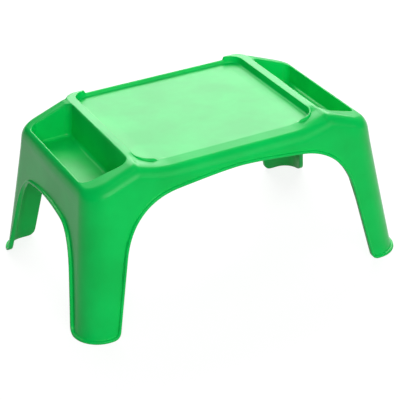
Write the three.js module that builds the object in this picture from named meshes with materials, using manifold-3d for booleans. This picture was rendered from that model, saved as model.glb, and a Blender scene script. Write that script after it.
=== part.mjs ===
// Kids lap desk: a small bed and floor desk moulded in one piece from green polypropylene.
// Millimetres. X runs along the desk, the user sits at -Y, and the four feet stand on Z = 0.
// The middle of the top is a sunken writing panel, open at the front, with a deep tray at each end.
// The skirt below the top is cut into four splayed corner legs by an arch in each side.

import * as THREE from 'three';
import { mergeVertices } from 'three/addons/utils/BufferGeometryUtils.js';
import Module from 'manifold-3d';

const wasm = await Module();
wasm.setup();

// Whole desk, measured over the lip round its lower edge
const deskLength = 520;
const deskDepth = 330;
const deskHeight = 236;

// Moulding
const wall = 3;
const lipReach = 4;
const lipHeight = 3.5;
const frontCornerRadius = 37;
const backCornerRadius = 28;

// The skirt leans in as it rises: its length and depth where the walls would reach the top
const crownLength = 448;
const crownDepth = 263;

// Rounding of the skirt into the top: along the front and back, and at the two ends
const frontRoll = 22;
const endRoll = 10;

// Writing panel, sunk into the top
const panelWidth = 274;
const panelBack = 128;
const panelFront = 104.5;
const panelSink = 10;
const panelCornerRadius = 20;
const panelTaper = 1.5;
const panelFillet = 2.5;

// Upstand behind the panel, lower between its two ends, so that a book can lie over it
const upstandThickness = 3.3;
const upstandNotchLength = 232;
const upstandNotchHeight = 5;

// Beads round the front corners of the panel, where the rims fall to the panel's level
const beadWidth = 3.6;
const beadHeight = 5.4;
const beadEnd = 114;
const rimFallEnd = 98;
const rimFallLength = 20;
const rimFallEase = 1.5;
const fallClearance = 0.5;

// Trays: one at each end, where the top slopes down
const rimWidth = 14;
const trayWidth = 64.5;
const trayBack = 104.5;
const trayFrontInner = 105.5;
const trayFrontOuter = 90;
const trayDepth = 52;
const trayCornerRadius = 13;
const trayFrontRadius = 18;
const trayTaper = 3;
const trayFillet = 6;
const trayEdgeRound = 2.2;
const endDrop = 24.9;

// Legs, and the arches between them
const footLength = 54.5;
const footDepth = 44;
const endArchShift = 7;
const footRound = 11;
const frontApron = 33;
const endApron = 86;
const frontLegLean = 44;
const endLegLean = 38;

// Ribs under the writing panel
const ribThickness = 2;
const ribHeight = 7;
const ribSpacing = 66;
const ribMargin = 14;

// Overrun of a cut past the surface that it goes through
const overrun = 8;

// Fineness of the round stretches
const cornerSteps = 9;
const rollSteps = 7;
const filletSteps = 4;
const curveSteps = 10;
const fallSteps = 8;

// Sizes that follow from the ones above
const plateauHalf = panelWidth / 2 + rimWidth;
const rollStart = deskHeight - frontRoll;
const panelFloor = deskHeight - panelSink;
const trayFloor = deskHeight - trayDepth;

// Height of the top at a place along the desk: level over the panel, then falling past each tray
function topAt(x) {
  const past = Math.max(0, Math.abs(x) - plateauHalf);
  return deskHeight - past * endDrop / trayWidth;
}

// Half length and half depth of the skirt's outer face at a height
function skirtHalf(height) {
  const climb = height / deskHeight;
  const footHalfLength = deskLength / 2 - lipReach;
  const footHalfDepth = deskDepth / 2 - lipReach;
  return {
    x: THREE.MathUtils.lerp(footHalfLength, crownLength / 2, climb),
    y: THREE.MathUtils.lerp(footHalfDepth, crownDepth / 2, climb),
  };
}

// The skirt's closed outline with four round corners, anticlockwise from +X, grown along X and Y,
// with extra points on its long sides where the top starts to slope
function skirtOutline(half, growX, growY) {
  const points = [];
  const halfX = half.x + growX;
  const halfY = half.y + growY;
  const signs = [[1, 1], [-1, 1], [-1, -1], [1, -1]];
  signs.forEach(([signX, signY], quarter) => {
    const radius = signY > 0 ? backCornerRadius : frontCornerRadius;
    const cornerX = radius + growX;
    const cornerY = radius + growY;
    for (let step = 0; step <= cornerSteps; step += 1) {
      const angle = (quarter + step / cornerSteps) * Math.PI / 2;
      points.push(new THREE.Vector2(
        signX * (halfX - cornerX) + cornerX * Math.cos(angle),
        signY * (halfY - cornerY) + cornerY * Math.sin(angle),
      ));
    }
    if (quarter % 2 === 0) {
      points.push(new THREE.Vector2(signX * plateauHalf, signY * halfY));
      points.push(new THREE.Vector2(-signX * plateauHalf, signY * halfY));
    }
  });
  return points;
}

// Closed outline through four corners given anticlockwise, each with its own radius, grown evenly
function openingOutline(corners, growth) {
  const points = [];
  corners.forEach((corner, index) => {
    const last = corners[(index + corners.length - 1) % corners.length];
    const next = corners[(index + 1) % corners.length];
    const before = new THREE.Vector2(corner.y - last.y, last.x - corner.x).normalize();
    const after = new THREE.Vector2(next.y - corner.y, corner.x - next.x).normalize();
    const reach = corner.radius / (1 + before.dot(after));
    const start = before.angle();
    const turn = (after.angle() - start + 2 * Math.PI) % (2 * Math.PI);
    for (let step = 0; step <= cornerSteps; step += 1) {
      const angle = start + turn * step / cornerSteps;
      points.push(new THREE.Vector2(
        corner.x - (before.x + after.x) * reach + (corner.radius + growth) * Math.cos(angle),
        corner.y - (before.y + after.y) * reach + (corner.radius + growth) * Math.sin(angle),
      ));
    }
  });
  return points;
}

// Closed mesh through a stack of rings that all have the same number of points. Its two ends are
// fans from the rings' first points.
function loft(rings) {
  const count = rings[0].length;
  const positions = [];
  const faces = [];
  for (const ring of rings) {
    for (const point of ring) positions.push(point.x, point.y, point.z);
  }
  for (let level = 0; level < rings.length - 1; level += 1) {
    for (let step = 0; step < count; step += 1) {
      const next = (step + 1) % count;
      const low = level * count;
      const high = low + count;
      faces.push(low + step, low + next, high + next);
      faces.push(low + step, high + next, high + step);
    }
  }
  const top = (rings.length - 1) * count;
  for (let step = 1; step < count - 1; step += 1) {
    faces.push(0, step + 1, step);
    faces.push(top, top + step, top + step + 1);
  }
  const geometry = new THREE.BufferGeometry();
  geometry.setAttribute('position', new THREE.Float32BufferAttribute(positions, 3));
  geometry.setIndex(faces);
  return geometry;
}

function toSolid(geometry) {
  const bare = geometry.clone();
  bare.deleteAttribute('normal');
  bare.deleteAttribute('uv');
  const merged = mergeVertices(bare);
  return new wasm.Manifold(new wasm.Mesh({
    numProp: 3,
    vertProperties: new Float32Array(merged.attributes.position.array),
    triVerts: new Uint32Array(merged.index.array),
  }));
}

// The desk's outer form as one solid, grown or shrunk evenly, from a height up to the top
function skin(growth, bottom) {
  const rings = [];
  const addRing = (height, insetX, insetY) => {
    const half = skirtHalf(Math.min(height, rollStart));
    const outline = skirtOutline(half, growth - insetX, growth - insetY);
    rings.push(outline.map((p) => new THREE.Vector3(p.x, p.y, height * topAt(p.x) / deskHeight)));
  };
  addRing(bottom, 0, 0);
  for (let step = 0; step <= rollSteps; step += 1) {
    const angle = step / rollSteps * Math.PI / 2;
    const rise = (frontRoll + growth) * Math.sin(angle);
    const drawIn = 1 - Math.cos(angle);
    addRing(rollStart + rise, (endRoll + growth) * drawIn, (frontRoll + growth) * drawIn);
  }

  // The level middle of the top: everything past it is drawn to the line where the slope starts
  const crest = rings[rings.length - 1];
  const reach = Math.max(...crest.map((p) => p.x)) - plateauHalf;
  rings.push(crest.map((p) => {
    const past = Math.max(0, Math.abs(p.x) - plateauHalf) / reach;
    const pull = frontRoll * (1 + past) / (frontRoll + deskDepth);
    return new THREE.Vector3(
      THREE.MathUtils.clamp(p.x, -plateauHalf, plateauHalf),
      p.y * (1 - pull),
      deskHeight + growth,
    );
  }));
  return toSolid(loft(rings));
}

// A drafted hollow with round corners, a floor fillet and a rounded upper edge that follows the top
function hollow({ corners, floor, taper, fillet, edgeRound }, growth) {
  const rings = [];
  const addRing = (inset, heightAt) => {
    const outline = openingOutline(corners, growth - inset);
    rings.push(outline.map((p) => new THREE.Vector3(p.x, p.y, heightAt(p.x))));
  };
  for (let step = 0; step <= filletSteps; step += 1) {
    const angle = step / filletSteps * Math.PI / 2;
    const inset = taper + fillet * (1 - Math.sin(angle));
    addRing(inset, () => floor - growth + fillet * (1 - Math.cos(angle)));
  }
  for (let step = 0; step <= filletSteps; step += 1) {
    const angle = step / filletSteps * Math.PI / 2;
    const flare = edgeRound * (1 - Math.cos(angle));
    addRing(-flare, (x) => topAt(x) - edgeRound * (1 - Math.sin(angle)));
  }
  addRing(-edgeRound, (x) => topAt(x) + overrun);
  return toSolid(loft(rings));
}

const panel = {
  corners: [
    { x: panelWidth / 2, y: panelBack, radius: panelCornerRadius },
    { x: -panelWidth / 2, y: panelBack, radius: panelCornerRadius },
    { x: -panelWidth / 2, y: -panelFront, radius: panelCornerRadius },
    { x: panelWidth / 2, y: -panelFront, radius: panelCornerRadius },
  ],
  floor: panelFloor,
  taper: panelTaper,
  fillet: panelFillet,
  edgeRound: wall / 3,
};

function tray(side) {
  const outer = plateauHalf + trayWidth;
  const corners = [
    { x: side * outer, y: trayBack, radius: trayCornerRadius },
    { x: side * plateauHalf, y: trayBack, radius: trayCornerRadius },
    { x: side * plateauHalf, y: -trayFrontInner, radius: trayCornerRadius },
    { x: side * outer, y: -trayFrontOuter, radius: trayFrontRadius },
  ];
  return {
    corners: side > 0 ? corners : corners.reverse(),
    floor: trayFloor,
    taper: trayTaper,
    fillet: trayFillet,
    edgeRound: trayEdgeRound,
  };
}

// The front of the panel runs straight over into the skirt, a panel's depth below the rims.
// This takes away what stands above that lower roll. Towards the trays it fades out.
function frontFall(growth) {
  const inside = panelFront - panelTaper - panelFillet;
  const stations = [];
  for (let step = 0; step <= fallSteps; step += 1) {
    const share = step / fallSteps;
    const x = THREE.MathUtils.lerp(plateauHalf + fallClearance, rimFallEnd, share);
    const fall = panelSink * (1 - (1 - share) ** rimFallEase);
    const lift = step === 0 ? fallClearance : 0;
    stations.push({ x, fall, lift });
    stations.push({ x: -x, fall, lift });
  }
  stations.sort((a, b) => a.x - b.x);
  const rings = stations.map(({ x, fall, lift }) => {
    const centreZ = rollStart - fall + lift;
    const centreY = skirtHalf(rollStart - fall).y - frontRoll;
    const outside = deskDepth / 2 + overrun;
    const roof = deskHeight + overrun;
    const profile = [[-outside, roof], [-outside, centreZ - growth]];
    for (let step = 0; step <= rollSteps; step += 1) {
      const angle = step / rollSteps * Math.PI / 2;
      const reach = frontRoll * Math.cos(angle) + (step === 0 ? overrun : 0);
      profile.push([-centreY - reach, centreZ - growth + frontRoll * Math.sin(angle)]);
    }
    profile.push([-inside, centreZ + frontRoll - growth]);
    profile.push([rimFallLength - inside, deskHeight - growth + lift]);
    profile.push([rimFallLength - inside, roof]);
    return profile.map(([y, z]) => new THREE.Vector3(x, y, z));
  });
  return toSolid(loft(rings));
}

// Upstand behind the panel, as wide as the level middle of the top and with its corners rounded
function upstand() {
  const back = panelBack + upstandThickness;
  const outline = openingOutline([
    { x: plateauHalf, y: back, radius: panelCornerRadius },
    { x: -plateauHalf, y: back, radius: panelCornerRadius },
    { x: -plateauHalf, y: -back, radius: panelCornerRadius },
    { x: plateauHalf, y: -back, radius: panelCornerRadius },
  ], 0);
  const rings = [rollStart, deskHeight].map((z) => outline.map((p) => {
    return new THREE.Vector3(p.x, Math.max(p.y, 0), z);
  }));
  return toSolid(loft(rings));
}

function block(minX, maxX, minY, maxY, minZ, maxZ) {
  const geometry = new THREE.BoxGeometry(maxX - minX, maxY - minY, maxZ - minZ);
  geometry.translate((minX + maxX) / 2, (minY + maxY) / 2, (minZ + maxZ) / 2);
  return toSolid(geometry);
}

// One bead: a low round-topped ridge round a front corner of the panel. It leaves the rim at the
// rim's height and falls towards its free end.
function bead(side) {
  const across = panelWidth / 2 - panelCornerRadius;
  const along = panelFront - panelCornerRadius;
  const radius = panelCornerRadius + beadWidth / 2;
  const endFall = panelSink - beadHeight;
  const path = [];
  for (let step = 0; step <= cornerSteps; step += 1) {
    const share = step / cornerSteps;
    const turn = share * Math.PI / 2;
    const outward = new THREE.Vector2(Math.cos(turn), -Math.sin(turn));
    const place = outward.clone().multiplyScalar(radius).add(new THREE.Vector2(across, -along));
    path.push({ place, outward, fall: endFall * share });
  }
  const last = path[path.length - 1];
  path.push({ ...last, place: new THREE.Vector2(beadEnd, last.place.y) });
  const rings = path.map(({ place, outward, fall }) => {
    const top = deskHeight - fall;
    const ring = [];
    const addPoint = (out, z) => {
      const x = place.x + outward.x * out;
      ring.push(new THREE.Vector3(side * x, place.y + outward.y * out, z));
    };
    addPoint(-beadWidth / 2, panelFloor - wall / 2);
    for (let step = 0; step <= filletSteps; step += 1) {
      const angle = Math.PI - step / filletSteps * Math.PI;
      addPoint(beadWidth / 2 * Math.cos(angle), top - beadWidth / 2 * (1 - Math.sin(angle)));
    }
    addPoint(beadWidth / 2, panelFloor - wall / 2);
    return side > 0 ? ring.reverse() : ring;
  });
  return toSolid(loft(rings));
}

// Outline of an arch between two legs, as half a width and a height. The legs' edges lean in as
// they rise, turn over in a wide curve and meet in a shallow crown. Their feet have round corners.
const crownPointShare = { x: 0.47, z: 0.96 };
const springShare = 0.557;
const turnShare = 0.921;

function archOutline(halfWidth, height, lean, round, base) {
  const edgeAt = (z) => halfWidth - lean * z / height;
  const spring = new THREE.Vector2(edgeAt(springShare * height), springShare * height);
  const turn = new THREE.Vector2(edgeAt(turnShare * height), turnShare * height);
  const crown = new THREE.Vector2(crownPointShare.x * halfWidth, crownPointShare.z * height);
  const slope = (crown.y - turn.y) / (turn.x - crown.x);
  const crownTurn = crown.x - (height - crown.y) / slope;
  const shape = new THREE.Shape();
  shape.moveTo(halfWidth + round, base - overrun);
  shape.lineTo(halfWidth + round, base);
  shape.quadraticCurveTo(edgeAt(base), base, edgeAt(base + round), base + round);
  shape.lineTo(spring.x, spring.y);
  shape.quadraticCurveTo(turn.x, turn.y, crown.x, crown.y);
  shape.quadraticCurveTo(crownTurn, height, 0, height);
  shape.quadraticCurveTo(-crownTurn, height, -crown.x, crown.y);
  shape.quadraticCurveTo(-turn.x, turn.y, -spring.x, spring.y);
  shape.lineTo(-edgeAt(base + round), base + round);
  shape.quadraticCurveTo(-edgeAt(base), base, -halfWidth - round, base);
  shape.lineTo(-halfWidth - round, base - overrun);
  return shape;
}

// Both arches right through the desk. Grown ones mark where the lip runs along their edges.
function arches(growth) {
  const round = footRound - growth;
  const front = archOutline(
    deskLength / 2 - footLength + growth,
    deskHeight - frontApron + growth,
    frontLegLean,
    round,
    growth,
  );
  const end = archOutline(
    deskDepth / 2 - footDepth + growth,
    deskHeight - endApron + growth,
    endLegLean,
    round,
    growth,
  );
  const throughDepth = new THREE.ExtrudeGeometry(front, {
    depth: deskDepth + 2 * overrun,
    bevelEnabled: false,
    curveSegments: curveSteps,
  });
  throughDepth.rotateX(Math.PI / 2);
  throughDepth.translate(0, deskDepth / 2 + overrun, 0);
  const throughLength = new THREE.ExtrudeGeometry(end, {
    depth: deskLength + 2 * overrun,
    bevelEnabled: false,
    curveSegments: curveSteps,
  });
  throughLength.rotateX(Math.PI / 2);
  throughLength.rotateZ(Math.PI / 2);
  throughLength.translate(-deskLength / 2 - overrun, endArchShift, 0);
  return toSolid(throughDepth).add(toSolid(throughLength));
}

// Lip that stands out from the skirt along the arches and round the feet
function edgeLip() {
  const outside = deskLength / 2 + overrun;
  const footBand = block(-outside, outside, -outside, outside, -overrun, lipHeight);
  const band = arches(lipHeight).add(footBand);
  return skin(lipReach, 0).subtract(skin(-wall / 2, -overrun)).intersect(band);
}

// Stiffening ribs that hang below the panel, inside the skirt
function panelRibs() {
  const top = panelFloor - wall / 2;
  const bottom = panelFloor - wall - ribHeight;
  const halfLength = panelWidth / 2 - ribMargin;
  const halfDepth = (panelBack + panelFront) / 2 - ribMargin;
  const middle = (panelBack - panelFront) / 2;
  let ribs = null;
  const addRib = (rib) => {
    ribs = ribs ? ribs.add(rib) : rib;
  };
  const half = ribThickness / 2;
  const across = Math.floor(halfLength / ribSpacing);
  for (let index = -across; index <= across; index += 1) {
    const x = index * ribSpacing;
    addRib(block(x - half, x + half, middle - halfDepth, middle + halfDepth, bottom, top));
  }
  const deep = Math.floor(halfDepth / ribSpacing);
  for (let index = -deep; index <= deep; index += 1) {
    const y = middle + index * ribSpacing;
    addRib(block(-halfLength, halfLength, y - half, y + half, bottom, top));
  }
  return ribs;
}

function deskMoulding() {
  const hollows = (growth) => hollow(panel, growth)
    .add(hollow(tray(-1), growth))
    .add(hollow(tray(1), growth));
  const inside = skin(-wall, -overrun).subtract(hollows(wall)).subtract(frontFall(wall));
  const notchHalf = upstandNotchLength / 2;
  const notch = block(
    -notchHalf,
    notchHalf,
    panelBack - panelFillet - panelTaper,
    deskDepth / 2,
    panelFloor + upstandNotchHeight,
    deskHeight + overrun,
  );
  return skin(0, 0)
    .add(upstand())
    .subtract(inside)
    .subtract(hollows(0))
    .subtract(frontFall(0))
    .subtract(notch)
    .add(bead(-1))
    .add(bead(1))
    .add(panelRibs())
    .add(edgeLip())
    .subtract(arches(0));
}

function toGeometry(solid) {
  const mesh = solid.getMesh();
  const geometry = new THREE.BufferGeometry();
  geometry.setAttribute('position', new THREE.Float32BufferAttribute(mesh.vertProperties, 3));
  geometry.setIndex(Array.from(mesh.triVerts));
  geometry.computeVertexNormals();
  return geometry;
}

// Green polypropylene straight from a finely textured mould
const polypropylene = new THREE.MeshStandardMaterial({
  color: 0x22c55c,
  roughness: 0.42,
  metalness: 0,
  flatShading: true,
});

const desk = new THREE.Group();
const moulding = new THREE.Mesh(toGeometry(deskMoulding()), polypropylene);
moulding.name = 'desk_moulding';
desk.add(moulding);

export default desk;
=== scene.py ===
# Kids lap desk in green polypropylene, seen on a white floor under soft studio light.
# Metres in the scene, millimetres in the settings of the moulding. +Z is up, the user sits at -Y.

import math

import bpy
import numpy as np
from mathutils import Matrix, Vector


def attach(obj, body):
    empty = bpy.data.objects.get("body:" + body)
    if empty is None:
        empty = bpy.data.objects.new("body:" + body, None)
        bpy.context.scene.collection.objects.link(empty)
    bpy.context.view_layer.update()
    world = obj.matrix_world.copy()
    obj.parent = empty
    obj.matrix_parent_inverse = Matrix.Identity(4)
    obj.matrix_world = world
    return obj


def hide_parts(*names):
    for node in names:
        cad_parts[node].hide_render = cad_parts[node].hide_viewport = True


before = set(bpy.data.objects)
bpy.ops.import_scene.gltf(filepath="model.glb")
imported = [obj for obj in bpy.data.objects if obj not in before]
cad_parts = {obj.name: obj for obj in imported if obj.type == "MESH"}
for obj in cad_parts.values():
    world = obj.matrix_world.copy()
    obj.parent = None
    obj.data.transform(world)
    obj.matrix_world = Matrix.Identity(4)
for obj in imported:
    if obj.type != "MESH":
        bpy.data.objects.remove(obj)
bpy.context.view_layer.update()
print("stage: frame loaded,", len(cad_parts), "node")


# Camera: place, direction and lens that make the desk's edges fall where the picture has them
view = {
    "turn": -26.24,
    "tilt": 28.79,
    "roll": -1.98,
    "distance": 2.104,
    "target": (0, 0, 0.12),
    "lens": 128.41,
    "sensor": 36,
    "shiftX": 0.008,
    "shiftY": -0.059,
    "farthest": 20,
}


def addCamera(settings):
    turn = math.radians(settings["turn"])
    tilt = math.radians(settings["tilt"])
    roll = math.radians(settings["roll"])
    back = Vector((
        math.sin(turn) * math.cos(tilt),
        -math.cos(turn) * math.cos(tilt),
        math.sin(tilt),
    ))
    right = Vector((math.cos(turn), math.sin(turn), 0))
    up = back.cross(right)
    # The camera's own right and up, turned about its line of sight by the roll
    leaning = right * math.cos(roll) + up * math.sin(roll)
    upright = up * math.cos(roll) - right * math.sin(roll)
    data = bpy.data.cameras.new("camera")
    data.lens = settings["lens"]
    data.sensor_width = settings["sensor"]
    data.shift_x = settings["shiftX"]
    data.shift_y = settings["shiftY"]
    data.clip_end = settings["farthest"]
    camera = bpy.data.objects.new("camera", data)
    camera.matrix_world = Matrix((leaning, upright, back)).transposed().to_4x4()
    camera.location = Vector(settings["target"]) + back * settings["distance"]
    bpy.context.scene.collection.objects.link(camera)
    bpy.context.scene.camera = camera


addCamera(view)
print("stage: camera")


def linear(code):
    # sRGB hex code to the linear values that shaders work in
    parts = [int(code[i:i + 2], 16) / 255 for i in (0, 2, 4)]
    return [p / 12.92 if p <= 0.04045 else ((p + 0.055) / 1.055) ** 2.4 for p in parts] + [1]


def addNode(tree, kind, values=None, links=None, **settings):
    # One node with its settings, its inputs' values and the sockets that feed it
    node = tree.nodes.new(kind)
    for name, value in settings.items():
        setattr(node, name, value)
    for name, value in (values or {}).items():
        node.inputs[name].default_value = value
    for name, socket in (links or {}).items():
        tree.links.new(socket, node.inputs[name])
    return node


# Satin polypropylene, injection moulded. The base is a clear mid green, with faint deeper clouds
# where the pigment flowed unevenly. A fine spark-eroded mould texture of about 0.6 mm breaks its
# highlights up, and the gloss changes slowly over the surface with how fast the melt cooled.
plastic = {
    "colour": "00d45c",
    "deepColour": "00c653",
    "cloudSize": 0.07,
    "cloudDetail": 3,
    "glossPatch": 0.09,
    "glossDetail": 2,
    "noiseSpan": (0.35, 0.65),
    "roughness": (0.295, 0.325),
    "ior": 1.49,
    "specular": 0.2,
    "grainSize": 0.0006,
    "grainDetail": 2,
    "grainDepth": 0.00001,
    "grainStrength": 0.3,
}


def polypropyleneMaterial(settings):
    material = bpy.data.materials.new("polypropyleneGreen")
    material.use_nodes = True
    tree = material.node_tree
    tree.nodes.clear()
    place = addNode(tree, "ShaderNodeTexCoord").outputs["Object"]

    def noise(size, detail):
        values = {"Scale": 1 / size, "Detail": detail}
        return addNode(tree, "ShaderNodeTexNoise", values, {"Vector": place}).outputs["Fac"]

    least, most = settings["noiseSpan"]
    clouds = addNode(
        tree,
        "ShaderNodeMapRange",
        {"From Min": least, "From Max": most},
        {"Value": noise(settings["cloudSize"], settings["cloudDetail"])},
    )
    colour = addNode(
        tree,
        "ShaderNodeMix",
        links={"Factor": clouds.outputs["Result"]},
        data_type="RGBA",
    )
    # A Mix node's colour sockets are its inputs 6 and 7 and its output 2
    colour.inputs[6].default_value = linear(settings["colour"])
    colour.inputs[7].default_value = linear(settings["deepColour"])
    smoothest, roughest = settings["roughness"]
    gloss = addNode(
        tree,
        "ShaderNodeMapRange",
        {"From Min": least, "From Max": most, "To Min": smoothest, "To Max": roughest},
        {"Value": noise(settings["glossPatch"], settings["glossDetail"])},
    )
    bump = addNode(
        tree,
        "ShaderNodeBump",
        {"Strength": settings["grainStrength"], "Distance": settings["grainDepth"]},
        {"Height": noise(settings["grainSize"], settings["grainDetail"])},
    )
    shader = addNode(
        tree,
        "ShaderNodeBsdfPrincipled",
        {"IOR": settings["ior"], "Specular IOR Level": settings["specular"]},
        {
            "Base Color": colour.outputs[2],
            "Roughness": gloss.outputs["Result"],
            "Normal": bump.outputs["Normal"],
        },
    )
    addNode(tree, "ShaderNodeOutputMaterial", links={"Surface": shader.outputs["BSDF"]})
    return material


polypropylene = polypropyleneMaterial(plastic)
print("stage: material")


# One-piece moulding. Sizes in millimetres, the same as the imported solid's, drawn finer. Places and
# outlines are those of the right half, which the left half mirrors.
moulding = {
    "length": 520,
    "depth": 330,
    "height": 236,
    "wall": 3,
    "lipReach": 4,
    "lipHeight": 3.5,
    "lipEdge": (0.8, 0.25),  # where a rounded edge begins, and its middle, from the sharp corner
    "lipRoot": (0.9, 0.25),
    "innerEdge": (0.5, 0.15),
    "frontCorner": 37,
    "backCorner": 28,
    "crown": (448, 263),  # length and depth of the skirt's outline, carried up to the top
    "frontRoll": 22,
    "endRoll": 10,
    "rollStart": 20,  # degrees of the roll that belong to the wall's rows
    "bevel": (104.5, 123, 8),  # even slope before the front roll: from, to, degrees
    "bevelEase": 3,
    "bevelPower": 1.5,
    "plateau": 151,
    "creaseEase": 7,
    "endDrop": 24.9 / 64.5,  # how far the ends fall for each millimetre past the plateau
    "panel": (137, 128, -104.5),  # half width, back and front
    "panelSink": 10,
    "panelCorner": 20,
    "panelTaper": 1.5,
    "panelFillet": 2.5,
    "panelEdge": 1,
    "upstand": 3.3,
    "upstandEdge": 0.8,
    "upstandFace": (0.2, 1.6),  # width of its inner face in the middle, and what the ends add
    "upstandSpread": (18, 24),  # where that starts, inside the panel's side, and its length
    "notchHalf": 116,
    "notchEase": 1.5,
    "notchRise": 5,
    "beadWidth": 3.6,
    "beadHeight": 5.4,
    "beadEnd": 110,
    "beadFade": 7,
    "fallEnd": 98,  # where the front roll is down by the panel's depth, from the middle
    "fallLength": 20,  # how far behind the panel's front the top comes back to its full height
    "fallEase": 1.5,
    "fallOnset": 6,
    "fallClearance": 0.5,
    # x, y and radius of each corner, the outer one at the back first
    "tray": ((215.5, 104.5, 13), (151, 104.5, 13), (151, -105.5, 13), (215.5, -90, 18)),
    "trayDepth": 52,
    "trayTaper": 3,
    "trayFillet": 6,
    "trayEdge": 2.2,
    "frontArch": (205.5, 203, 44),  # half width at the floor, height, and how far a side leans in
    "endArch": (121, 150, 38),
    "endArchShift": 7,
    "footRound": 11,
    "archCrownShare": (0.47, 0.96),
    "archSpringShare": 0.557,
    "archTurnShare": 0.921,
    "ribThickness": (2, 1.5),  # at the root and at the free edge
    "ribHeight": 7,
    "ribSpacing": 66,
    "ribMargin": 14,
    "seam": 145,
    "innerPanelGap": 2.3,
}

# How finely the moulding is drawn. Steps along the lower edge are in millimetres, and round its
# corners in quarter turns. Rings are distances outside the outline of a hollow. Pairs of rows,
# crowding and fillet steps are for the outer face and the inner one.
drawing = {
    "curvePoints": 60,
    "edgeStep": 3.2,
    "cornerStep": (0.06, 0.08),
    "seamSteps": 84,
    "wallRows": 10,
    "topSpreadShare": 0.4,  # how evenly the columns stand at the top, from straight up to even
    "beyondEdges": 40,  # a distance from a hollow at which no edge or bead is left
    "trayRings": (3.4, 2.2, 1.5, 0.9, 0.4, 0.12, 0),
    "trayRows": (12, 4),
    "trayCrowding": (1.3, 1),
    "trayFilletSteps": (7, 5),
    "trayArcWeight": 2,
    "panelRings": (4.3, 3.8, 3.6, 3.5, 3.3, 3.1, 2.8, 2.4, 1.8, 1.2, 0.7, 0.3, 0.1, 0),
    "panelRows": (14, 4),
    "panelCrowding": (1.15, 1),
    "panelFilletSteps": (5, 3),
    "panelArcWeight": 2.6,
    "notchWeight": 3,  # crowds the columns at the notch's ends, over notchSpread
    "notchSpread": 3,
    "columnGrowth": 2,  # the grown outline along which columns are shared out
    "leastRadius": 0.001,
    "basePasses": 4,
    "settlePasses": 14,
    "halvings": 30,
    "outlinePoints": 1200,
    "mirrorLimit": 1e-6,
}
millimetre = 0.001
m = moulding
floorLevel = m["height"] - m["panelSink"]
trayLevel = m["height"] - m["trayDepth"]


def smooth(share):
    # Eases from 0 to 1: three times the square less twice the cube
    share = np.clip(share, 0, 1)
    return share * share * (3 - 2 * share)


def topAt(x):
    # Height along the desk: level over the panel, then a straight fall, with the crease eased
    ease = m["creaseEase"]
    past = np.abs(x) - m["plateau"]
    past = np.where(past > ease, past, np.clip(past + ease, 0, None) ** 2 / (4 * ease))
    return m["height"] - past * m["endDrop"]


def halfAt(height):
    # Half length and half depth of the skirt, which leans in evenly as it rises
    climb = height / m["height"]
    footX = m["length"] / 2 - m["lipReach"]
    footY = m["depth"] / 2 - m["lipReach"]
    return (
        footX + (m["crown"][0] / 2 - footX) * climb,
        footY + (m["crown"][1] / 2 - footY) * climb,
    )


def fallAt(x):
    # How far the front roll lies below the rims: a panel's depth in the middle, none at the trays
    start = m["plateau"] + m["fallClearance"]
    share = np.clip((start - np.abs(x)) / (start - m["fallEnd"]), 0, 1)
    eased = 1 - (1 - share) ** m["fallEase"]
    return m["panelSink"] * eased * smooth(share * m["fallOnset"])


def plan(p, height, out, drawIn):
    # Place on the skirt's outline: straights joined by corner arcs. p runs from 0 at the middle of
    # the front to 6 at the middle of the back: 0-1 front, 1-2 corner, 2-4 end, 4-5 corner, 5-6 back.
    # out grows the outline, and drawIn is the share of the roll by which the top is drawn in.
    halfX, halfY = halfAt(height)
    growX = out - (m["endRoll"] + out) * drawIn
    growY = out - (m["frontRoll"] + out) * drawIn
    first = (p - 1) * np.pi / 2
    second = (p - 4) * np.pi / 2
    front = m["frontCorner"]
    back = m["backCorner"]
    between = halfY * 2 - front - back
    x = np.select(
        [p <= 1, p <= 2, p <= 4, p <= 5],
        [p * (halfX - front), halfX - front + (front + growX) * np.sin(first), halfX + growX,
         halfX - back + (back + growX) * np.cos(second)],
        (6 - p) * (halfX - back),
    )
    y = np.select(
        [p <= 1, p <= 2, p <= 4, p <= 5],
        [-halfY - growY, front - halfY - (front + growY) * np.cos(first),
         front - halfY + (p / 2 - 1) * between, halfY - back + (back + growY) * np.sin(second)],
        halfY + growY,
    )
    return x, y


def baseAt(p):
    # Height at which the wall turns into the roll, which along the front follows the lower roll
    base = np.full(len(p), float(m["height"] - m["frontRoll"]))
    for _ in range(drawing["basePasses"]):
        x = np.where(p < 1, p * (halfAt(base)[0] - m["frontCorner"]), m["length"])
        base = m["height"] - m["frontRoll"] - fallAt(x)
    return base


def wallPoint(p, height, out):
    # Place on the wall, or on the roll's quarter ellipse where the height is above its base
    base = baseAt(p)
    over = np.clip((height - base) / (m["frontRoll"] + out), 0, 1)
    x, y = plan(p, np.minimum(height, base), out, 1 - np.sqrt(1 - over * over))
    return np.stack([x, y, height * topAt(x) / m["height"]], -1)


def bevelAt(y):
    # How far the front edge lies below its plain roll. It falls at an even slope from the panel's
    # front, and further on it comes back to the roll by a power of what is left of the way.
    start, end, slope = m["bevel"]
    ease = m["bevelEase"]
    roll = m["frontRoll"]
    top = halfAt(m["height"] - roll - m["panelSink"])[1] - roll
    last = top + roll * math.cos(math.radians(m["rollStart"]))

    def below(ahead):
        past = np.clip(ahead - start, 0, None)
        even = np.where(past > ease, past - ease / 2, past * past / (2 * ease))
        over = np.clip(ahead - top, 0, roll)
        return even * math.tan(math.radians(slope)) - roll + np.sqrt(roll * roll - over * over)

    left = np.clip((last + y) / (last - end), 0, 1) ** m["bevelPower"]
    return np.where(-y < end, below(-y), below(np.array(float(end))) * left)


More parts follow.
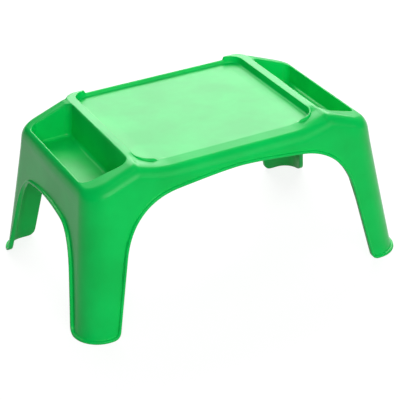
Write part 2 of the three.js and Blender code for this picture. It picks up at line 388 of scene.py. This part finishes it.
def surfaceAt(x, y, out):
    # Height of the roll and the top over a place. The share by which the roll is drawn in there is
    # found by halving, as the one whose outline passes through the place. The roll rises over it as
    # a quarter ellipse. Behind the panel's front the fall fades out, and the bevel comes off it.
    fall = np.where(y < 0, fallAt(x), 0)
    base = m["height"] - m["frontRoll"] - fall
    halfX, halfY = halfAt(base)
    corner = np.where(y < 0, m["frontCorner"], m["backCorner"])
    overX = np.clip(np.abs(x) - halfX + corner, 0, None)
    overY = np.clip(np.abs(y) - halfY + corner, 0, None)
    low = np.zeros_like(x)
    high = np.ones_like(x)
    for _ in range(drawing["halvings"]):
        middle = (low + high) / 2
        reachX = corner + out - (m["endRoll"] + out) * middle
        reachY = corner + out - (m["frontRoll"] + out) * middle
        within = (overX / reachX) ** 2 + (overY / reachY) ** 2 < 1
        low = np.where(within, middle, low)
        high = np.where(within, high, middle)
    rise = (m["frontRoll"] + out) * np.sqrt(1 - (1 - low) ** 2)
    inside = -m["panel"][2] - m["panelTaper"] - m["panelFillet"]
    faded = smooth((inside - m["fallLength"] + y) / -m["fallLength"])
    lift = fall * (1 - faded) - bevelAt(y) * fall / m["panelSink"]
    return (base + rise + lift) * topAt(x) / m["height"]


def curve(start, turn, end):
    # Parabola from start to end whose tangents meet at turn
    share = np.linspace(0, 1, drawing["curvePoints"])[:, None]
    start, turn, end = (np.array(p, float) for p in (start, turn, end))
    return start * (1 - share) ** 2 + 2 * turn * share * (1 - share) + end * share ** 2


def archEdge(halfWidth, rise, lean):
    # Half of an arch's edge from its crown to the underside of the foot: two curves over the
    # shoulder, a straight leaning side, and the curve under the foot
    foot = m["footRound"]

    def side(z):
        return halfWidth - lean * z / rise, z

    spring = side(m["archSpringShare"] * rise)
    turn = side(m["archTurnShare"] * rise)
    crown = (m["archCrownShare"][0] * halfWidth, m["archCrownShare"][1] * rise)
    slope = (crown[1] - turn[1]) / (turn[0] - crown[0])
    crownTurn = crown[0] - (rise - crown[1]) / slope
    return np.concatenate([
        curve((0, rise), (crownTurn, rise), crown),
        curve(crown, turn, spring)[1:],
        np.linspace(spring, side(foot), drawing["curvePoints"])[1:],
        curve(side(foot), side(0), (halfWidth + foot, 0))[1:],
    ])


def walk(points, step):
    # Even steps along a line, and the direction of the material beside it
    length = np.concatenate([[0], np.cumsum(np.hypot(*np.diff(points, axis=0).T))])
    count = int(round(length[-1] / step)) + 1
    places = np.linspace(0, length[-1], count)
    along = np.gradient(points, length, axis=0)
    along /= np.hypot(along[:, 0], along[:, 1])[:, None]
    columns = (points[:, 0], points[:, 1], -along[:, 1], along[:, 0])
    return np.stack([np.interp(places, length, values) for values in columns], -1)


def lowerEdge():
    # The skirt's lower edge from the middle of the front round one end to the middle of the back.
    # Each row: stretch, place along the side (or p in a corner), height, and the material's side.
    footX, footY = halfAt(0)
    frontCorner = m["frontCorner"]
    backCorner = m["backCorner"]
    front = archEdge(*m["frontArch"])
    end = archEdge(*m["endArch"])
    shift = np.array([m["endArchShift"], 0])
    mirror = np.array([-1, 1])
    step = drawing["edgeStep"]
    frontStep, backStep = drawing["cornerStep"]
    # The end arch's feet reach into both corners
    frontReach = end[-1, 0] - m["endArchShift"] - footY + frontCorner
    backReach = end[-1, 0] + m["endArchShift"] - footY + backCorner
    firstCorner = 2 - math.asin(frontReach / frontCorner) / (math.pi / 2)
    secondCorner = 4 + math.asin(backReach / backCorner) / (math.pi / 2)

    def underFoot(first, last, spacing):
        return walk(np.array([(first, 0), (last, 0)], float), spacing)

    # The first number names the stretch: 0 front, 1 corner, 2 end, 3 back
    stretches = [
        (0, walk(front, step)),
        (0, underFoot(front[-1, 0], footX - frontCorner, step)[1:-1]),
        (1, underFoot(1, firstCorner, frontStep)[:-1]),
        (2, walk((end * mirror + shift)[::-1], step)),
        (2, walk(end + shift, step)[1:]),
        (1, underFoot(secondCorner, 5, backStep)[1:]),
        (3, underFoot(backCorner - footX, -front[-1, 0], step)[1:-1]),
        (3, walk((front * mirror)[::-1], step)),
    ]
    edge = np.concatenate([
        np.column_stack([np.full(len(rows), kind), rows]) for kind, rows in stretches
    ])
    # On the mirror plane the material lies straight above
    edge[[0, -1], 3:] = (0, 1)
    return edge


def settle(edge, inset, out):
    # p and height on the skirt of the points at a distance from the lower edge. Both depend on each
    # other, because the skirt leans in and its top slopes, so they are worked out in a few passes.
    kind, along, level = edge[:, 0], edge[:, 1].copy(), edge[:, 2] + edge[:, 4] * inset
    along = np.where(kind == 1, along, along + edge[:, 3] * inset)
    height = level.copy()
    atFront = (kind == 0) | (kind == 2) & (along < 0)
    corner = np.where(atFront, m["frontCorner"], m["backCorner"])

    def turned(over):
        return np.arcsin(np.clip(over / (corner + out), 0, 1)) / (np.pi / 2)

    for _ in range(drawing["settlePasses"]):
        halfX, halfY = halfAt(height)
        centreX = halfX - corner
        overX = np.abs(along) - centreX
        overY = np.abs(along) - halfY + corner
        front = np.where(overX > 0, 1 + turned(overX), along / centreX)
        between = 2 * halfY - m["frontCorner"] - m["backCorner"]
        end = np.where(overY > 0, np.where(along < 0, 2 - turned(overY), 4 + turned(overY)),
                       2 + 2 * (along + halfY - m["frontCorner"]) / between)
        back = np.where(overX > 0, 5 - turned(overX), 6 + along / centreX)
        p = np.select([kind == 0, kind == 1, kind == 2], [front, along, end], back)
        x, y = plan(p, height, out, 0)
        height = level * m["height"] / topAt(x)
    return p, height


def outlineAt(corners, t, growth):
    # Point of a rounded outline, grown evenly. t counts the pieces of the outline: 0-1 the first
    # corner's arc, 1-2 the straight to the next one, and so on.
    count = len(corners)
    arcs = []
    for index, (x, y, radius) in enumerate(corners):
        last = corners[index - 1]
        following = corners[(index + 1) % count]
        before = np.array([y - last[1], last[0] - x], float)
        after = np.array([following[1] - y, x - following[0]], float)
        before /= np.hypot(*before)
        after /= np.hypot(*after)
        reach = radius / (1 + before @ after)
        start = math.atan2(before[1], before[0])
        turn = (math.atan2(after[1], after[0]) - start) % (2 * math.pi)
        arcs.append((x - (before[0] + after[0]) * reach, y - (before[1] + after[1]) * reach,
                     radius + growth, start, turn))
    t = t % (2 * count)
    piece = np.floor(t).astype(int)
    share = t - piece
    out = np.zeros((len(t), 2))

    def onArc(arc, part):
        angle = arc[3] + arc[4] * part
        return np.stack([arc[0] + arc[2] * np.cos(angle), arc[1] + arc[2] * np.sin(angle)], -1)

    for index in range(count):
        mask = piece == 2 * index
        out[mask] = onArc(arcs[index], share[mask])
        mask = piece == 2 * index + 1
        start = onArc(arcs[index], np.array([1.0]))
        end = onArc(arcs[(index + 1) % count], np.array([0.0]))
        out[mask] = start + (end - start) * share[mask][:, None]
    return out


def matched(corners, anchors, places, marks, arcWeight, notchWeight):
    # For each point of a loop round a hollow, its t on the hollow's outline. The points at the marks
    # get the anchors. Between two of them the share of the weighted length along the outline is the
    # mean of two shares of the loop, by length and by count. Arcs and the notch's ends weigh more.
    result = np.zeros(len(places))
    step = np.hypot(*np.diff(places, axis=0).T)
    length = np.concatenate([[0], np.cumsum(step)])
    for first, last, start, end in zip(marks[:-1], marks[1:], anchors[:-1], anchors[1:]):
        fine = np.linspace(start, end, drawing["outlinePoints"])
        points = outlineAt(corners, fine, drawing["columnGrowth"])
        fromNotch = (points[:, 0] - m["notchHalf"]) / drawing["notchSpread"]
        atNotch = np.exp(-fromNotch ** 2) * (points[:, 1] > 0)
        weight = np.where(np.floor(fine) % 2 == 0, arcWeight, 1.0) + notchWeight * atNotch
        run = np.hypot(*np.diff(points, axis=0).T) * weight[1:]
        total = np.concatenate([[0], np.cumsum(run)])
        bySpan = (length[first:last + 1] - length[first]) / (length[last] - length[first])
        byCount = np.linspace(0, 1, last - first + 1)
        share = (bySpan + byCount) / 2
        result[first:last + 1] = np.interp(share * total[-1], total, fine)
    return result


def edgeDrop(growth, radius):
    # Rounding of an upper edge: a quarter circle that ends level at its radius
    over = np.clip(1 - growth / radius, 0, 1)
    return radius * (1 - np.sqrt(1 - over * over))


def upstandAt(x, y, growth, level):
    # The thin wall behind the panel: its level top, the notch between its ends, its rounded edge,
    # and its inner face, which is steep in the middle and spreads out towards the ends
    across = np.abs(x)
    centreX = m["plateau"] - m["panelCorner"]
    centreY = m["panel"][1] + m["upstand"] - m["panelCorner"]
    overX = np.clip(across - centreX, 0, None)
    overY = np.clip(y - centreY, 0, None)
    within = m["panelCorner"] - np.hypot(overX, overY)
    notch = smooth((across - m["notchHalf"] + m["notchEase"]) / (2 * m["notchEase"]))
    low = m["height"] - m["panelSink"] + m["notchRise"]
    top = low + (m["height"] - low) * notch
    top = top - edgeDrop(np.clip(within, 0, None), m["upstandEdge"])
    least, more = m["upstandFace"]
    inside, length = m["upstandSpread"]
    face = least + more * smooth((across - m["panel"][0] + inside) / length)
    shown = np.clip(1 + within / face, 0, 1)
    raised = level + (top - level) * shown
    return np.where(y > 0, np.maximum(level, raised), level)


def beadAt(x, y, growth, level):
    # The bead round the panel's front corner: round on top, falling towards its free end
    across = np.abs(x) - m["panel"][0] + m["panelCorner"]
    along = m["panel"][2] + m["panelCorner"] - y
    share = np.clip(np.arctan2(np.clip(along, 0, None), across) / (np.pi / 2), 0, 1)
    top = m["height"] - (m["panelSink"] - m["beadHeight"]) * share
    half = m["beadWidth"] / 2
    off = np.clip(np.abs(growth - half) / half, 0, 1)
    crest = top - half * (1 - np.sqrt(1 - off * off))
    end = smooth((np.abs(x) - m["beadEnd"]) / m["beadFade"])
    present = (along > 0) & (growth <= m["beadWidth"])
    return np.where(present, np.maximum(level, level + (crest - level) * end), level)


def rimLevel(place, growth, out):
    # Height of the top beside the panel: the upstand and then the bead are laid on the roll, and in
    # between the panel's edge is rounded, by at most half of what the rim stands above the floor
    x, y = place[:, 0], place[:, 1]
    level = surfaceAt(x, y, out)
    if out < 0:
        return level
    level = upstandAt(x, y, growth, level)
    radius = np.minimum(m["panelEdge"], (level - floorLevel) / 2).clip(drawing["leastRadius"])
    return beadAt(x, y, growth, level - edgeDrop(growth, radius))


def trayRimLevel(place, growth, out):
    # Height of the top beside a tray, with the tray's rounded edge
    x, y = place[:, 0], place[:, 1]
    level = surfaceAt(x, y, out)
    if out < 0:
        return level
    return upstandAt(x, y, growth, level) - edgeDrop(growth, m["trayEdge"])


class Sheet:
    # The outer or the inner face of the shell: its points row by row, and the quads between rows
    def __init__(self, out):
        self.out = out
        self.points = []
        self.faces = []
        self.floors = []
        self.count = 0

    def choose(self, pair):
        # The drawing's pairs name the outer face first
        return pair[0] if self.out == 0 else pair[1]

    def add(self, points):
        start = self.count
        self.points.append(points)
        self.count += len(points)
        return np.arange(start, self.count)

    def follow(self, loop, points, closed=False):
        # Adds a row of points, and the quads between the loop before it and this row
        index = self.add(points)
        lower, upper = loop, index
        if closed:
            lower = np.append(loop, loop[0])
            upper = np.append(index, index[0])
        self.faces.append(np.stack([lower[:-1], lower[1:], upper[1:], upper[:-1]], -1))
        return index


def lipRows():
    # The rows round the lip: each one's distance from the lower edge and its reach beyond the wall's
    # outer face, from the inner face under the edge and up to the wall above the lip
    wall = m["wall"]
    reach = m["lipReach"]
    lip = m["lipHeight"]
    start, half = m["innerEdge"]
    rows = [(start, -wall), (half, half - wall), (0, start - wall)]
    start, half = m["lipEdge"]
    rows += [(0, reach - start), (half, reach - half), (start, reach)]
    rows += [(lip - start, reach), (lip - half, reach - half), (lip, reach - start)]
    start, half = m["lipRoot"]
    return rows + [(lip, start), (lip + half, half), (lip + start, 0)]


def addWall(sheet, edge, rowsBelow):
    # Rows up to a few degrees round the roll. The first ones follow the lower edge. Above them the
    # columns spread out, and one at the front and one at the back end at the seam.
    rows = [(*settle(edge, inset, reach), reach) for inset, reach in rowsBelow]
    loop = sheet.add(wallPoint(*rows[0]))
    for row in rows[1:]:
        loop = sheet.follow(loop, wallPoint(*row))
    p, height, reach = rows[-1]
    step = np.linalg.norm(np.diff(wallPoint(p, height, reach), axis=0), axis=1)
    run = np.concatenate([[0], np.cumsum(step)])
    top = p.copy()
    breaks = np.flatnonzero(np.diff(edge[:, 0]) != 0)
    spread = drawing["topSpreadShare"]
    for first, last, low, high in (
        (0, breaks[0] + 1, 0, 1),
        (breaks[1], breaks[2] + 1, p[breaks[1]], p[breaks[2] + 1]),
        (breaks[3], len(p) - 1, 5, 6),
    ):
        part = slice(first, last + 1)
        share = (run[part] - run[first]) / (run[last] - run[first])
        even = low + (high - low) * share
        top[part] = (1 - spread) * p[part] + spread * even

    base = m["height"] - m["frontRoll"]
    seamBase = base - fallAt(np.array(m["seam"]))
    frontStraight = halfAt(base)[0] - m["frontCorner"]
    backStraight = halfAt(base)[0] - m["backCorner"]
    front = int(np.argmin(np.abs(top - m["seam"] / frontStraight)))
    back = int(np.argmin(np.abs(top - 6 + m["seam"] / backStraight)))
    top[front] = m["seam"] / (halfAt(seamBase)[0] - m["frontCorner"])
    top[back] = 6 - m["seam"] / backStraight

    roll = (m["frontRoll"] + sheet.out) * math.sin(math.radians(m["rollStart"]))
    target = baseAt(top) + roll
    for row in range(1, drawing["wallRows"] + 1):
        share = row / drawing["wallRows"]
        places = wallPoint(p + (top - p) * share, height + (target - height) * share, sheet.out)
        loop = sheet.follow(loop, places)
    sheet.loop, sheet.places, sheet.top = loop, places, top
    sheet.front, sheet.back = front, back


def addSeam(sheet):
    # Points across the rim between panel and tray, where both meet
    start, end = sheet.places[[sheet.front, sheet.back], 1]
    y = start + (end - start) * np.linspace(0, 1, drawing["seamSteps"] + 1)[1:-1]
    plane = np.stack([np.full(len(y), float(m["seam"])), y], -1)
    sheet.seam = np.column_stack([plane, rimLevel(plane, drawing["beyondEdges"], sheet.out)])
    sheet.seamIndex = sheet.add(sheet.seam)


def addHollow(sheet, hollow, t, loop, places, closed):
    # From a loop round a hollow over its rim, down the wall and round the fillet to the floor. Rows
    # close up on the first ring, crowded by a power, and the other rings follow the grown outline.
    corners = hollow["corners"]
    levelAt = hollow["level"]
    floor = hollow["floor"]
    fillet = hollow["fillet"]
    rings = [growth - sheet.out for growth in hollow["rings"]]
    rows = sheet.choose(hollow["rows"])
    steps = sheet.choose(hollow["filletSteps"])
    plane = places[:, :2]
    nearest = outlineAt(corners, t, rings[0])
    for row in range(1, rows + 1):
        share = (row / rows) ** sheet.choose(hollow["crowding"])
        place = plane + (nearest - plane) * share
        level = levelAt(place, rings[0] + (1 - share) * drawing["beyondEdges"], sheet.out)
        loop = sheet.follow(loop, np.column_stack([place, level]), closed)
    for growth in rings[1:]:
        place = outlineAt(corners, t, growth)
        level = levelAt(place, growth, sheet.out)
        loop = sheet.follow(loop, np.column_stack([place, level]), closed)
    rise = level - floor
    for step in range(steps + 1):
        angle = step / steps * math.pi / 2
        inset = hollow["taper"] + fillet * (1 - math.cos(angle))
        share = fillet * (1 - math.sin(angle)) / hollow["fullDepth"]
        place = outlineAt(corners, t, rings[-1] - inset)
        loop = sheet.follow(loop, np.column_stack([place, floor + rise * share]), closed)
    sheet.floors.append(loop)


def addTray(sheet):
    # A closed loop from the front of the seam round the end and back along the seam. The seam's ends
    # and the middles of the skirt's corners go with the middles of the tray's four corners.
    front, back = sheet.front, sheet.back
    columns = np.arange(front, back + 1)
    loop = np.concatenate([sheet.loop[columns], sheet.seamIndex[::-1]])
    places = np.concatenate([sheet.places[columns], sheet.seam[::-1]])
    closing = np.concatenate([places, places[:1]])[:, :2]
    first = int(np.argmin(np.abs(sheet.top[columns] - 1.5)))
    second = int(np.argmin(np.abs(sheet.top[columns] - 4.5)))
    marks = (0, first, second, back - front, len(places))
    anchors = (4.5, 6.5, 8.5, 10.5, 12.5)
    t = matched(m["tray"], anchors, closing, marks, drawing["trayArcWeight"], 0)[:-1]
    hollow = {
        "corners": m["tray"],
        "rings": sheet.choose((drawing["trayRings"], (0,))),
        "rows": drawing["trayRows"],
        "crowding": drawing["trayCrowding"],
        "level": trayRimLevel,
        "floor": trayLevel + sheet.out,
        "fullDepth": m["trayDepth"] - sheet.choose((m["trayEdge"], m["wall"])),
        "fillet": m["trayFillet"],
        "filletSteps": drawing["trayFilletSteps"],
        "taper": m["trayTaper"],
    }
    addHollow(sheet, hollow, t, loop, places, True)


def addPanel(sheet):
    # An open loop from the middle of the front along the seam to the middle of the back. The seam's
    # ends go with the middles of the panel's corners.
    front, back = sheet.front, sheet.back
    loop = np.concatenate([sheet.loop[:front + 1], sheet.seamIndex, sheet.loop[back:]])
    places = np.concatenate([sheet.places[:front + 1], sheet.seam, sheet.places[back:]])
    halfX, backY, frontY = m["panel"]
    if sheet.out < 0:
        # Grown by the wall, the inner outline ends at a gap before the skirt's inner face
        innerY = halfAt(m["height"] - m["frontRoll"])[1] - m["wall"]
        backY = innerY - m["innerPanelGap"] + sheet.out
    radius = m["panelCorner"]
    corners = [(-halfX, frontY, radius), (halfX, frontY, radius),
               (halfX, backY, radius), (-halfX, backY, radius)]
    marks = (0, front, front + len(sheet.seam) + 1, len(places) - 1)
    t = matched(corners, (1.5, 2.5, 4.5, 5.5), places[:, :2], marks,
                drawing["panelArcWeight"], drawing["notchWeight"])
    hollow = {
        "corners": corners,
        "rings": sheet.choose((drawing["panelRings"], (0,))),
        "rows": drawing["panelRows"],
        "crowding": drawing["panelCrowding"],
        "level": rimLevel,
        "floor": floorLevel + sheet.out,
        "fullDepth": m["panelSink"] - sheet.choose((m["panelEdge"], 0)),
        "fillet": m["panelFillet"],
        "filletSteps": drawing["panelFilletSteps"],
        "taper": m["panelTaper"],
    }
    addHollow(sheet, hollow, t, loop, places, False)


def halfShell():
    # Outer and inner face of the right half
    edge = lowerEdge()
    rows = lipRows()
    sheets = []
    for out, rowsBelow in ((0, rows), (-m["wall"], rows[:1])):
        sheet = Sheet(out)
        addWall(sheet, edge, rowsBelow)
        addSeam(sheet)
        addTray(sheet)
        addPanel(sheet)
        sheets.append(sheet)
    return sheets


def wholeShell():
    # Both faces of the right half are joined along the lower edge, which is the first row of each,
    # and closed by the hollows' floors. The left half is their mirror image.
    outer, inner = halfShell()
    points = np.concatenate(outer.points + inner.points)
    edgeRow = np.arange(len(outer.points[0]))
    renamed = np.arange(len(points))
    renamed[edgeRow + outer.count] = edgeRow
    turned = renamed[np.concatenate(inner.faces) + outer.count][:, ::-1]
    quads = np.concatenate([np.concatenate(outer.faces), turned])
    floors = outer.floors + [(floor + outer.count)[::-1] for floor in inner.floors]
    middle = np.abs(points[:, 0]) < drawing["mirrorLimit"]
    points[middle, 0] = 0
    mirrored = np.arange(len(points)) + np.where(middle, 0, len(points))
    points = np.concatenate([points, points * [-1, 1, 1]])
    quads = np.concatenate([quads, mirrored[quads][:, ::-1]])
    floors += [mirrored[floor][::-1] for floor in floors]
    used = np.zeros(len(points), bool)
    used[np.concatenate([quads.ravel(), *floors])] = True
    compact = np.cumsum(used) - 1
    return points[used], compact[quads].tolist() + [compact[floor].tolist() for floor in floors]


def ribBoxes():
    # Stiffening ribs under the panel, set into its underside. Each is a box of eight corners, four
    # at its wide root and four at its narrow free edge, with six faces.
    halfX, back, front = m["panel"]
    middle = (back + front) / 2
    reachX = halfX - m["ribMargin"]
    reachY = (back - front) / 2 - m["ribMargin"]
    root = floorLevel - m["wall"] / 2
    edge = floorLevel - m["wall"] - m["ribHeight"]
    level = np.repeat((root, edge), 4)
    half = np.repeat(m["ribThickness"], 4) / 2
    a, b = np.array([(-1, -1), (1, -1), (1, 1), (-1, 1)] * 2).T
    box = np.array([(0, 1, 2, 3), (7, 6, 5, 4), (0, 4, 5, 1), (1, 5, 6, 2), (2, 6, 7, 3), (3, 7, 4, 0)])

    def centres(reach):
        count = int(reach // m["ribSpacing"])
        return np.arange(-count, count + 1) * m["ribSpacing"]

    ribs = [np.stack([x + a * half, middle + b * reachY, level], -1) for x in centres(reachX)]
    ribs += [np.stack([a * reachX, middle + y + b * half, level], -1) for y in centres(reachY)]
    faces = [box + len(level) * index for index in range(len(ribs))]
    return np.concatenate(ribs), np.concatenate(faces)


def addMoulding():
    points, faces = wholeShell()
    ribPoints, ribFaces = ribBoxes()
    faces += (ribFaces + len(points)).tolist()
    points = np.concatenate([points, ribPoints]) * millimetre
    mesh = bpy.data.meshes.new("deskShell")
    mesh.from_pydata(points.tolist(), [], faces)
    mesh.update()
    mesh.polygons.foreach_set("use_smooth", np.arange(len(faces)) < len(faces) - len(ribFaces))
    shell = bpy.data.objects.new("deskShell", mesh)
    bpy.context.scene.collection.objects.link(shell)
    mesh.materials.append(polypropylene)
    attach(shell, "root")
    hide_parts("desk_moulding")
    return shell


shell = addMoulding()
print("stage: moulding", len(shell.data.vertices), "points", len(shell.data.polygons), "faces")


# White floor. Seen directly or in a reflection it is near white, and keeps the desk's soft shadow.
floorPaper = {
    "halfSide": 6,
    "colour": 0.3,  # the grey whose light falls back on the desk
    "seenColour": 0.22,
    "seenGlow": 0.86,
}


def grey(value):
    return value, value, value, 1


def addFloor(settings):
    half = settings["halfSide"]
    corners = [(-half, -half, 0), (half, -half, 0), (half, half, 0), (-half, half, 0)]
    mesh = bpy.data.meshes.new("floor")
    mesh.from_pydata(corners, [], [(0, 1, 2, 3)])
    floor = bpy.data.objects.new("floor", mesh)
    bpy.context.scene.collection.objects.link(floor)
    material = bpy.data.materials.new("floorPaper")
    material.use_nodes = True
    tree = material.node_tree
    tree.nodes.clear()
    lit = addNode(tree, "ShaderNodeBsdfDiffuse", {"Color": grey(settings["colour"])})
    seen = addNode(tree, "ShaderNodeBsdfDiffuse", {"Color": grey(settings["seenColour"])})
    strength = settings["seenGlow"]
    glow = addNode(tree, "ShaderNodeEmission", {"Color": grey(1), "Strength": strength})
    both = addNode(tree, "ShaderNodeAddShader")
    tree.links.new(seen.outputs["BSDF"], both.inputs[0])
    tree.links.new(glow.outputs["Emission"], both.inputs[1])
    rays = addNode(tree, "ShaderNodeLightPath")
    reflected = addNode(tree, "ShaderNodeMath", operation="MAXIMUM")
    tree.links.new(rays.outputs["Is Glossy Ray"], reflected.inputs[0])
    tree.links.new(rays.outputs["Is Transmission Ray"], reflected.inputs[1])
    direct = addNode(tree, "ShaderNodeMath", operation="MAXIMUM")
    tree.links.new(rays.outputs["Is Camera Ray"], direct.inputs[0])
    tree.links.new(reflected.outputs["Value"], direct.inputs[1])
    mix = addNode(tree, "ShaderNodeMixShader", links={"Fac": direct.outputs["Value"]})
    tree.links.new(lit.outputs["BSDF"], mix.inputs[1])
    tree.links.new(both.outputs["Shader"], mix.inputs[2])
    addNode(tree, "ShaderNodeOutputMaterial", links={"Surface": mix.outputs["Shader"]})
    mesh.materials.append(material)


# Lamps: a bright screen behind the desk, whose sheen lies on every level surface, a small screen
# above it for the sloping left end, a long narrow strip overhead for the front roll, and soft boxes
# in front, which light the apron and the legs and leave the left end and the inner faces in shade
lamps = {
    "backScreen": {
        "place": (1.15, 2.0, 1.5), "target": (0, 0, 0.2), "size": (2.4, 1.9), "radiance": 5.7,
    },
    "upperScreen": {
        "place": (-0.2, 1.7, 2.05), "target": (0, 0, 0.2), "size": (0.9, 0.9), "radiance": 3.6,
    },
    "overheadStrip": {
        "place": (0.1, -0.2, 2.4), "target": (0, 0, 0.2), "size": (3.0, 0.24), "radiance": 1.8,
    },
    "frontBox": {
        "place": (-0.6, -2.3, 1.5), "target": (0, 0, 0.12), "size": (2.2, 1.4), "radiance": 4.7,
    },
    "rightBox": {
        "place": (1.4, -2.0, 1.4), "target": (0, 0, 0.12), "size": (2.0, 1.4), "radiance": 1.5,
    },
}


def addLamp(name, settings):
    # An area lamp of a given radiance has a power of radiance times pi times its area
    width, height = settings["size"]
    data = bpy.data.lights.new(name, "AREA")
    data.shape = "RECTANGLE"
    data.size = width
    data.size_y = height
    data.energy = settings["radiance"] * math.pi * width * height
    lamp = bpy.data.objects.new(name, data)
    place = Vector(settings["place"])
    lamp.location = place
    lamp.rotation_euler = (Vector(settings["target"]) - place).to_track_quat("-Z", "Y").to_euler()
    bpy.context.scene.collection.objects.link(lamp)


# Faint even light from all sides
surroundings = {"strength": 0.08}


def addWorld(settings):
    world = bpy.data.worlds.new("studio")
    world.use_nodes = True
    bpy.context.scene.world = world
    tree = world.node_tree
    tree.nodes.clear()
    strength = settings["strength"]
    light = addNode(tree, "ShaderNodeBackground", {"Color": grey(1), "Strength": strength})
    addNode(tree, "ShaderNodeOutputWorld", links={"Surface": light.outputs["Background"]})


addFloor(floorPaper)
for name, settings in lamps.items():
    addLamp(name, settings)
addWorld(surroundings)
bpy.context.scene.view_settings.view_transform = "Standard"
print("stage: floor and light")
